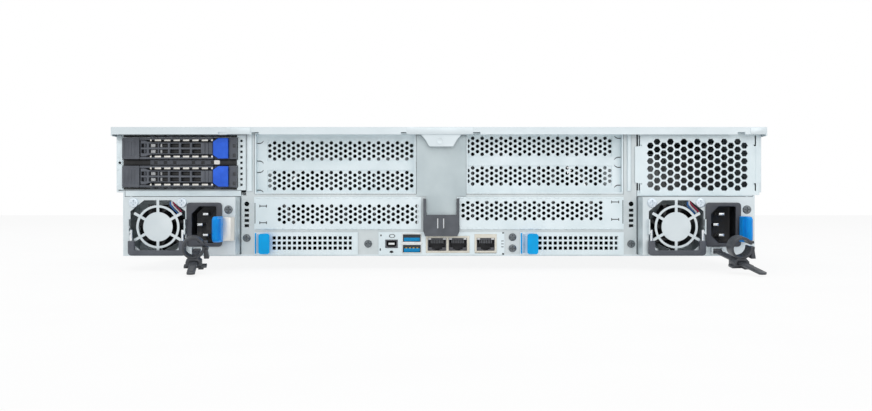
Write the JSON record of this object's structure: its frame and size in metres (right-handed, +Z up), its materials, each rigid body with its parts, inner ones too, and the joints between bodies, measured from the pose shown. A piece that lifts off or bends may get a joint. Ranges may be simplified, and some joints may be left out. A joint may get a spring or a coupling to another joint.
{
  "type": "2u rack server",
  "caption": "Rack server two units high: lift-off cover, pull-out power supplies with cord clamps, drive trays, riser slots, network ports and slotted rack ears.",
  "frame": {"origin": "middle of the underside of the chassis floor, halfway between the front and rear panels", "axes": "+Z up, out of the base; -Y out of the rear panel with the power supplies; +Y out of the front with the rack ears; +X to the right seen from the rear"},
  "size_m": [0.4826, 0.8907, 0.0946],
  "materials": {
    "zinc_plated_steel": "matt zinc-plated sheet steel",
    "painted_steel": "satin light grey powder coat",
    "dark_plastic": "matt moulded plastic",
    "black_plastic": "matt moulded plastic",
    "blue_plastic": "smooth moulded plastic",
    "bright_steel": "nickel-plated steel",
    "circuit_board": "coated fibreglass board",
    "fin_aluminium": "bare aluminium"
  },
  "bodies": {
    "chassis": {"chassis_base": "zinc_plated_steel", "front_top_panel": "zinc_plated_steel", "rear_wall": "painted_steel", "riser_brackets": "painted_steel", "slot_covers": "painted_steel", "io_panel": "painted_steel", "display_socket": "bright_steel", "usb_sockets": "bright_steel", "lan_sockets": "painted_steel", "center_bracket": "painted_steel", "bracket_foot": "dark_plastic", "vent_panel": "painted_steel", "rear_drive_cage": "painted_steel", "psu_tunnels": "painted_steel", "front_cage": "painted_steel", "rack_ears": "dark_plastic", "circuit_boards": "circuit_board", "heatsinks": "fin_aluminium", "memory_modules": "circuit_board", "fan_cage": "black_plastic"},
    "top_cover": {"top_cover": "zinc_plated_steel"},
    "cover_latch": {"cover_latch": "dark_plastic"},
    "fan_rotor_1": {"fan_rotor_1": "black_plastic"},
    "fan_rotor_2": {"fan_rotor_2": "black_plastic"},
    "fan_rotor_3": {"fan_rotor_3": "black_plastic"},
    "fan_rotor_4": {"fan_rotor_4": "black_plastic"},
    "card_cover_left": {"card_cover_left": "painted_steel", "card_tab_left": "blue_plastic"},
    "card_cover_right": {"card_cover_right": "painted_steel", "card_tab_right": "blue_plastic"},
    "psu_left": {"psu_case_left": "painted_steel", "psu_inlet_left": "black_plastic"},
    "psu_rotor_left": {"psu_rotor_left": "black_plastic"},
    "psu_handle_left": {"psu_handle_left": "dark_plastic"},
    "psu_latch_left": {"psu_latch_left": "blue_plastic"},
    "psu_strap_left": {"psu_strap_left": "dark_plastic"},
    "psu_clamp_left": {"psu_clamp_left": "dark_plastic"},
    "psu_right": {"psu_case_right": "painted_steel", "psu_inlet_right": "black_plastic"},
    "psu_rotor_right": {"psu_rotor_right": "black_plastic"},
    "psu_handle_right": {"psu_handle_right": "dark_plastic"},
    "psu_latch_right": {"psu_latch_right": "blue_plastic"},
    "psu_strap_right": {"psu_strap_right": "dark_plastic"},
    "psu_clamp_right": {"psu_clamp_right": "dark_plastic"},
    "rear_tray_1": {"rear_tray_1": "dark_plastic"},
    "rear_lever_1": {"rear_lever_1": "dark_plastic"},
    "rear_button_1": {"rear_button_1": "blue_plastic"},
    "rear_tray_2": {"rear_tray_2": "dark_plastic"},
    "rear_lever_2": {"rear_lever_2": "dark_plastic"},
    "rear_button_2": {"rear_button_2": "blue_plastic"},
    "front_tray_1": {"front_tray_1": "dark_plastic"},
    "front_lever_1": {"front_lever_1": "dark_plastic"},
    "front_tray_2": {"front_tray_2": "dark_plastic"},
    "front_lever_2": {"front_lever_2": "dark_plastic"},
    "front_tray_3": {"front_tray_3": "dark_plastic"},
    "front_lever_3": {"front_lever_3": "dark_plastic"},
    "front_tray_4": {"front_tray_4": "dark_plastic"},
    "front_lever_4": {"front_lever_4": "dark_plastic"},
    "power_button": {"power_button": "bright_steel"}
  },
  "joints": [
    {"name": "cover_lift", "type": "slide", "parent": "chassis", "child": "top_cover", "axis": [0, 0, 1], "range_m": [0, 0.2]},
    {"name": "cover_latch_turn", "type": "hinge", "parent": "top_cover", "child": "cover_latch", "pos_m": [0, -0.0065, 0.0855], "axis": [-1, 0, 0], "range_deg": [0, 80]},
    {"name": "fan_spin_1", "type": "hinge", "parent": "chassis", "child": "fan_rotor_1", "pos_m": [-0.129, 0.101, 0.0417], "axis": [0, 1, 0], "continuous": true},
    {"name": "fan_spin_2", "type": "hinge", "parent": "chassis", "child": "fan_rotor_2", "pos_m": [-0.043, 0.101, 0.0417], "axis": [0, 1, 0], "continuous": true},
    {"name": "fan_spin_3", "type": "hinge", "parent": "chassis", "child": "fan_rotor_3", "pos_m": [0.043, 0.101, 0.0417], "axis": [0, 1, 0], "continuous": true},
    {"name": "fan_spin_4", "type": "hinge", "parent": "chassis", "child": "fan_rotor_4", "pos_m": [0.129, 0.101, 0.0417], "axis": [0, 1, 0], "continuous": true},
    {"name": "card_cover_left_slide", "type": "slide", "parent": "chassis", "child": "card_cover_left", "axis": [0, -1, 0], "range_m": [0, 0.06]},
    {"name": "card_cover_right_slide", "type": "slide", "parent": "chassis", "child": "card_cover_right", "axis": [0, -1, 0], "range_m": [0, 0.06]},
    {"name": "psu_left_slide", "type": "slide", "parent": "chassis", "child": "psu_left", "axis": [0, -1, 0], "range_m": [0, 0.185]},
    {"name": "psu_rotor_left_spin", "type": "hinge", "parent": "psu_left", "child": "psu_rotor_left", "pos_m": [-0.1863, -0.399, 0.0202], "axis": [0, 1, 0], "continuous": true},
    {"name": "psu_handle_left_turn", "type": "hinge", "parent": "psu_left", "child": "psu_handle_left", "pos_m": [-0.1863, -0.4128, 0.0202], "axis": [-1, 0, 0], "range_deg": [0, 100]},
    {"name": "psu_latch_left_flex", "type": "hinge", "parent": "psu_left", "child": "psu_latch_left", "pos_m": [-0.1357, -0.4103, 0.0188], "axis": [0, 0, -1], "range_deg": [0, 8], "stiffness_Nm_per_rad": 0.2, "springref_deg": -1.15},
    {"name": "psu_strap_left_turn", "type": "hinge", "parent": "psu_left", "child": "psu_strap_left", "pos_m": [-0.1599, -0.4126, 0.0041], "axis": [-1, 0, 0], "range_deg": [-30, 50]},
    {"name": "psu_clamp_left_slide", "type": "slide", "parent": "psu_strap_left", "child": "psu_clamp_left", "axis": [0.147, -0.9783, -0.1462], "range_m": [-0.007, 0.025]},
    {"name": "psu_right_slide", "type": "slide", "parent": "chassis", "child": "psu_right", "axis": [0, -1, 0], "range_m": [0, 0.185]},
    {"name": "psu_rotor_right_spin", "type": "hinge", "parent": "psu_right", "child": "psu_rotor_right", "pos_m": [0.1572, -0.399, 0.0202], "axis": [0, 1, 0], "continuous": true},
    {"name": "psu_handle_right_turn", "type": "hinge", "parent": "psu_right", "child": "psu_handle_right", "pos_m": [0.1572, -0.4128, 0.0202], "axis": [-1, 0, 0], "range_deg": [0, 100]},
    {"name": "psu_latch_right_flex", "type": "hinge", "parent": "psu_right", "child": "psu_latch_right", "pos_m": [0.2078, -0.4103, 0.0188], "axis": [0, 0, -1], "range_deg": [0, 8], "stiffness_Nm_per_rad": 0.2, "springref_deg": -1.15},
    {"name": "psu_strap_right_turn", "type": "hinge", "parent": "psu_right", "child": "psu_strap_right", "pos_m": [0.1836, -0.4126, 0.0041], "axis": [-1, 0, 0], "range_deg": [-30, 50]},
    {"name": "psu_clamp_right_slide", "type": "slide", "parent": "psu_strap_right", "child": "psu_clamp_right", "axis": [0.147, -0.9783, -0.1462], "range_m": [-0.007, 0.025]},
    {"name": "rear_tray_1_slide", "type": "slide", "parent": "chassis", "child": "rear_tray_1", "axis": [0, -1, 0], "range_m": [0, 0.11]},
    {"name": "rear_lever_1_turn", "type": "hinge", "parent": "rear_tray_1", "child": "rear_lever_1", "pos_m": [-0.1993, -0.3914, 0.05395], "axis": [0, 0, -1], "range_deg": [0, 70]},
    {"name": "rear_button_1_press", "type": "slide", "parent": "rear_tray_1", "child": "rear_button_1", "axis": [0, 1, 0], "range_m": [0, 0.002], "stiffness_N_per_m": 400, "springref_m": -0.001},
    {"name": "rear_tray_2_slide", "type": "slide", "parent": "chassis", "child": "rear_tray_2", "axis": [0, -1, 0], "range_m": [0, 0.11]},
    {"name": "rear_lever_2_turn", "type": "hinge", "parent": "rear_tray_2", "child": "rear_lever_2", "pos_m": [-0.1993, -0.3914, 0.07295], "axis": [0, 0, -1], "range_deg": [0, 70]},
    {"name": "rear_button_2_press", "type": "slide", "parent": "rear_tray_2", "child": "rear_button_2", "axis": [0, 1, 0], "range_m": [0, 0.002], "stiffness_N_per_m": 400, "springref_m": -0.001},
    {"name": "front_tray_1_slide", "type": "slide", "parent": "chassis", "child": "front_tray_1", "axis": [0, 1, 0], "range_m": [0, 0.16]},
    {"name": "front_lever_1_turn", "type": "hinge", "parent": "front_tray_1", "child": "front_lever_1", "pos_m": [-0.2028, 0.39, 0.0157], "axis": [0, 0, 1], "range_deg": [0, 70]},
    {"name": "front_tray_2_slide", "type": "slide", "parent": "chassis", "child": "front_tray_2", "axis": [0, 1, 0], "range_m": [0, 0.16]},
    {"name": "front_lever_2_turn", "type": "hinge", "parent": "front_tray_2", "child": "front_lever_2", "pos_m": [-0.0964, 0.39, 0.0157], "axis": [0, 0, 1], "range_deg": [0, 70]},
    {"name": "front_tray_3_slide", "type": "slide", "parent": "chassis", "child": "front_tray_3", "axis": [0, 1, 0], "range_m": [0, 0.16]},
    {"name": "front_lever_3_turn", "type": "hinge", "parent": "front_tray_3", "child": "front_lever_3", "pos_m": [0.01, 0.39, 0.0157], "axis": [0, 0, 1], "range_deg": [0, 70]},
    {"name": "front_tray_4_slide", "type": "slide", "parent": "chassis", "child": "front_tray_4", "axis": [0, 1, 0], "range_m": [0, 0.16]},
    {"name": "front_lever_4_turn", "type": "hinge", "parent": "front_tray_4", "child": "front_lever_4", "pos_m": [0.1164, 0.39, 0.0157], "axis": [0, 0, 1], "range_deg": [0, 70]},
    {"name": "power_button_press", "type": "slide", "parent": "chassis", "child": "power_button", "axis": [0, -1, 0], "range_m": [0, 0.0012], "stiffness_N_per_m": 400, "springref_m": -0.001}
  ]
}
